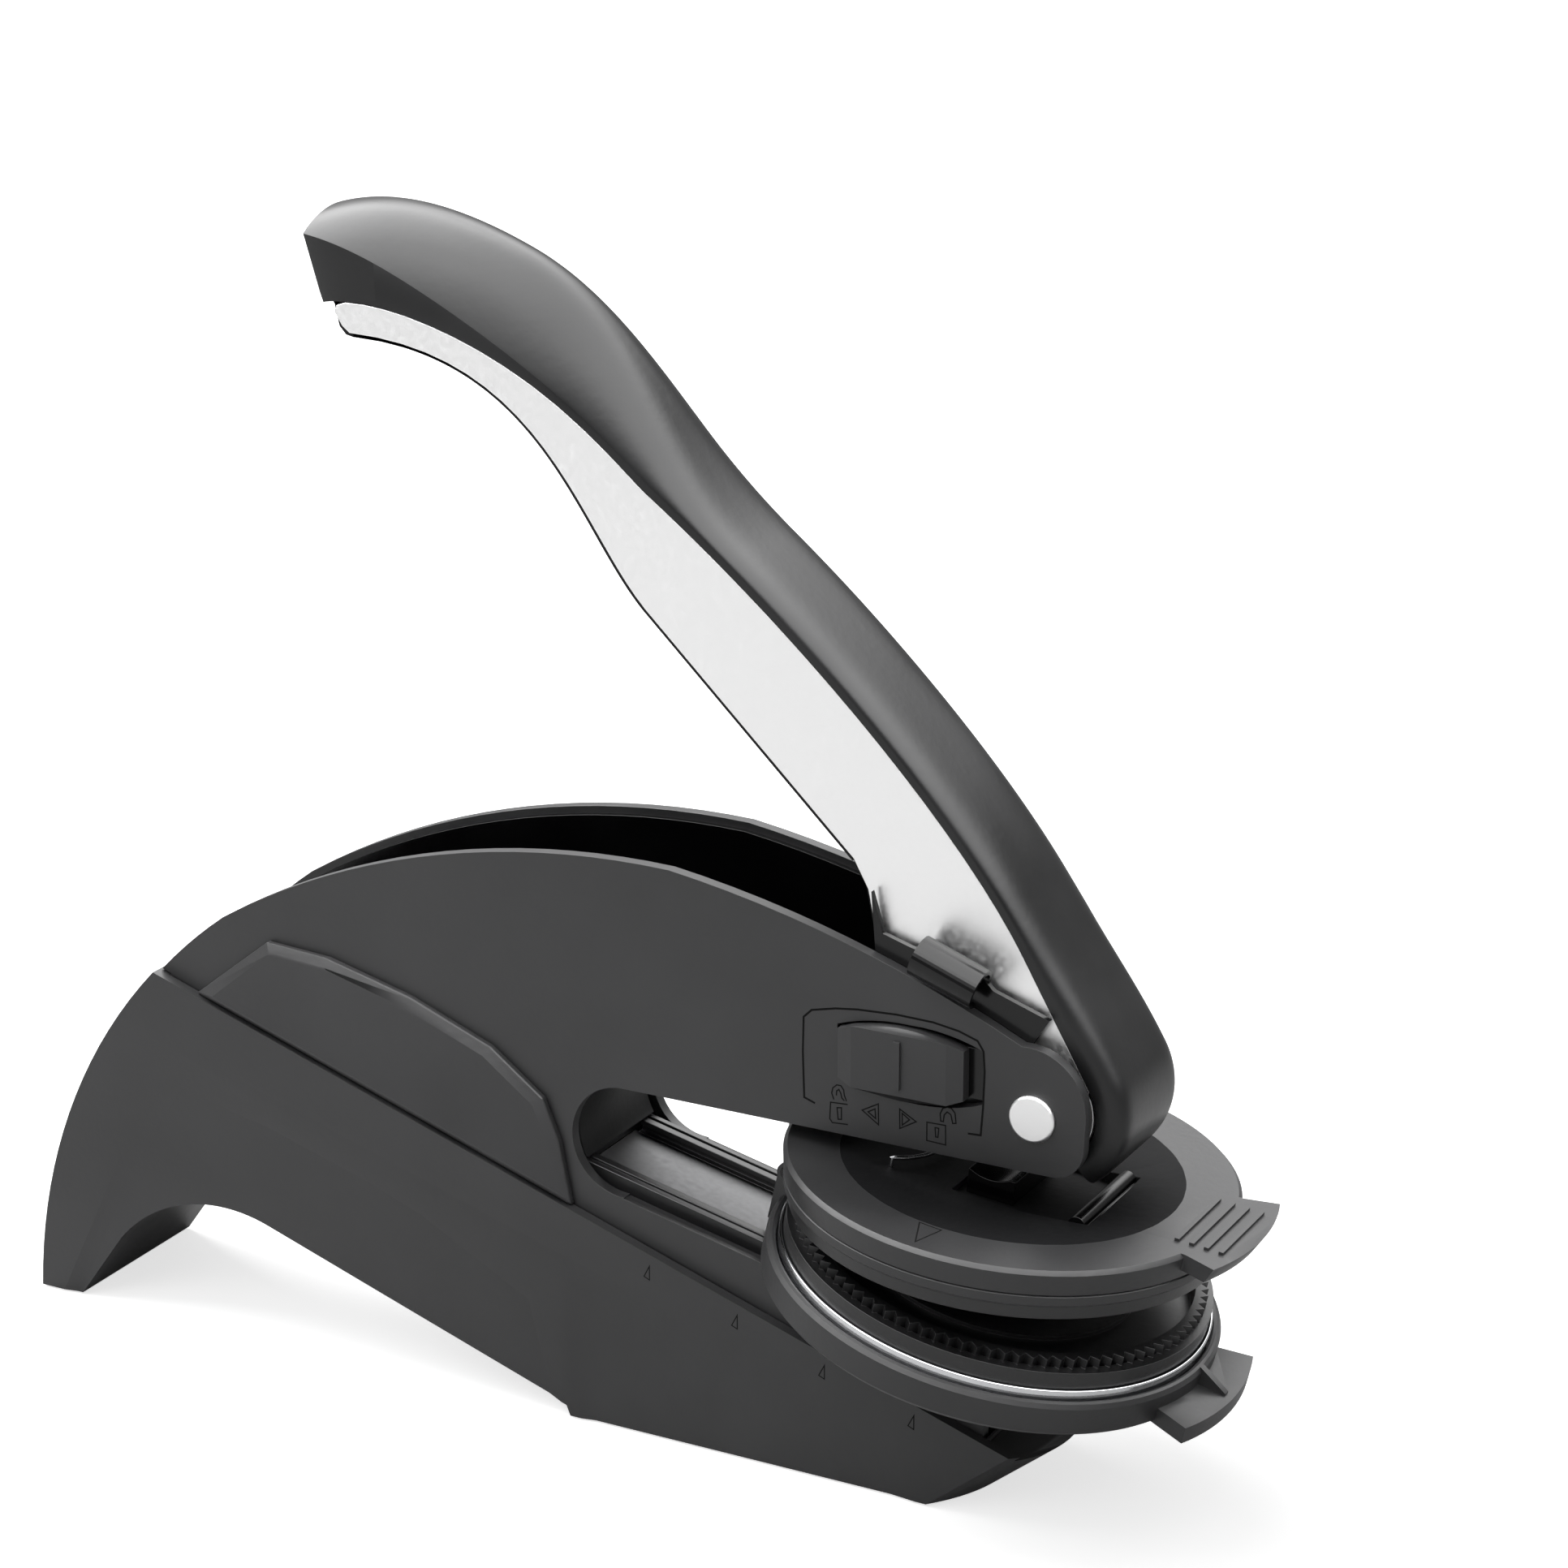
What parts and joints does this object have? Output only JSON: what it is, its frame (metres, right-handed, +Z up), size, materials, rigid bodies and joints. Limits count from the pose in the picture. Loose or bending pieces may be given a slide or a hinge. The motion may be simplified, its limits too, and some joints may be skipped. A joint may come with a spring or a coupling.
{
  "type": "desk seal embosser",
  "caption": "Hand press with a long lever handle on a pivot pin over an arched body; it closes a clip of two hinged discs that emboss paper.",
  "frame": {"origin": "centre of the footprint box at desk level", "axes": "+X from the back foot towards the discs, +Y to the far side, +Z up"},
  "size_m": [0.1754, 0.0582, 0.1554],
  "materials": {
    "body_plastic": "satin black moulding",
    "trim_plastic": "bead-textured black",
    "grip_plastic": "semi-gloss black",
    "core_plastic": "matt black",
    "rail_plastic": "matt black",
    "disc_plastic": "satin black moulding",
    "die_plastic": "matt black",
    "black_steel": "black oxide",
    "lever_steel": "bright plated",
    "bright_steel": "polished",
    "jaw_steel": "satin",
    "pin_steel": "machined",
    "pad_rubber": "matt"
  },
  "bodies": {
    "frame": {"base_skirt": "body_plastic", "base_plate": "core_plastic", "front_foot_pad": "pad_rubber", "rear_foot_pad": "pad_rubber", "base_screws": "pin_steel", "wall_right": "body_plastic", "wall_left": "body_plastic", "badge_right": "trim_plastic", "badge_left": "trim_plastic", "cheek_right": "black_steel", "cheek_left": "black_steel", "frame_spacers": "pin_steel", "frame_screws": "pin_steel", "throat_liner": "core_plastic", "rail_right": "rail_plastic", "rail_left": "rail_plastic", "jaw_plate": "jaw_steel", "jaw_front": "core_plastic", "pivot_pin": "pin_steel", "pivot_cap": "pin_steel"},
    "handle": {"handle_core": "core_plastic", "handle_cover": "grip_plastic", "lever_plate_right": "lever_steel", "lever_plate_left": "lever_steel", "handle_rivets": "pin_steel", "roller_pin": "pin_steel", "handle_spring": "pin_steel"},
    "roller": {"press_roller": "bright_steel"},
    "clip_base": {"lower_disc": "disc_plastic", "lower_ring": "bright_steel", "lower_die": "die_plastic", "clip_tang": "disc_plastic", "clip_hinge_pin": "black_steel"},
    "clip_lid": {"upper_disc": "disc_plastic", "upper_die": "die_plastic", "thrust_pad": "black_steel", "thrust_bar": "black_steel", "lid_wire": "bright_steel"},
    "lock": {"lock_button": "trim_plastic", "lock_slider": "black_steel"}
  },
  "joints": [
    {"name": "handle_press", "type": "hinge", "parent": "frame", "child": "handle", "pos_m": [0.0623, 0, 0.0542], "axis": [0, -1, 0], "range_deg": [0, 38], "stiffness_Nm_per_rad": 0.3, "springref_deg": -34.38},
    {"name": "roller_spin", "type": "hinge", "parent": "handle", "child": "roller", "pos_m": [0.05247, 0, 0.04732], "axis": [0, 1, 0], "continuous": true},
    {"name": "clip_slide", "type": "slide", "parent": "frame", "child": "clip_base", "axis": [0.9744, 0, -0.225], "range_m": [0, 0.042]},
    {"name": "lid_close", "type": "hinge", "parent": "clip_base", "child": "clip_lid", "pos_m": [0.02541, 0, 0.03687], "axis": [0, 1, 0], "range_deg": [0, 7]},
    {"name": "lock_slide", "type": "slide", "parent": "frame", "child": "lock", "axis": [1, 0, 0], "range_m": [0, 0.002]}
  ],
  "couplings": [
    {"joint": "lid_close", "follows": "handle_press", "ratio": 0.18421}
  ]
}
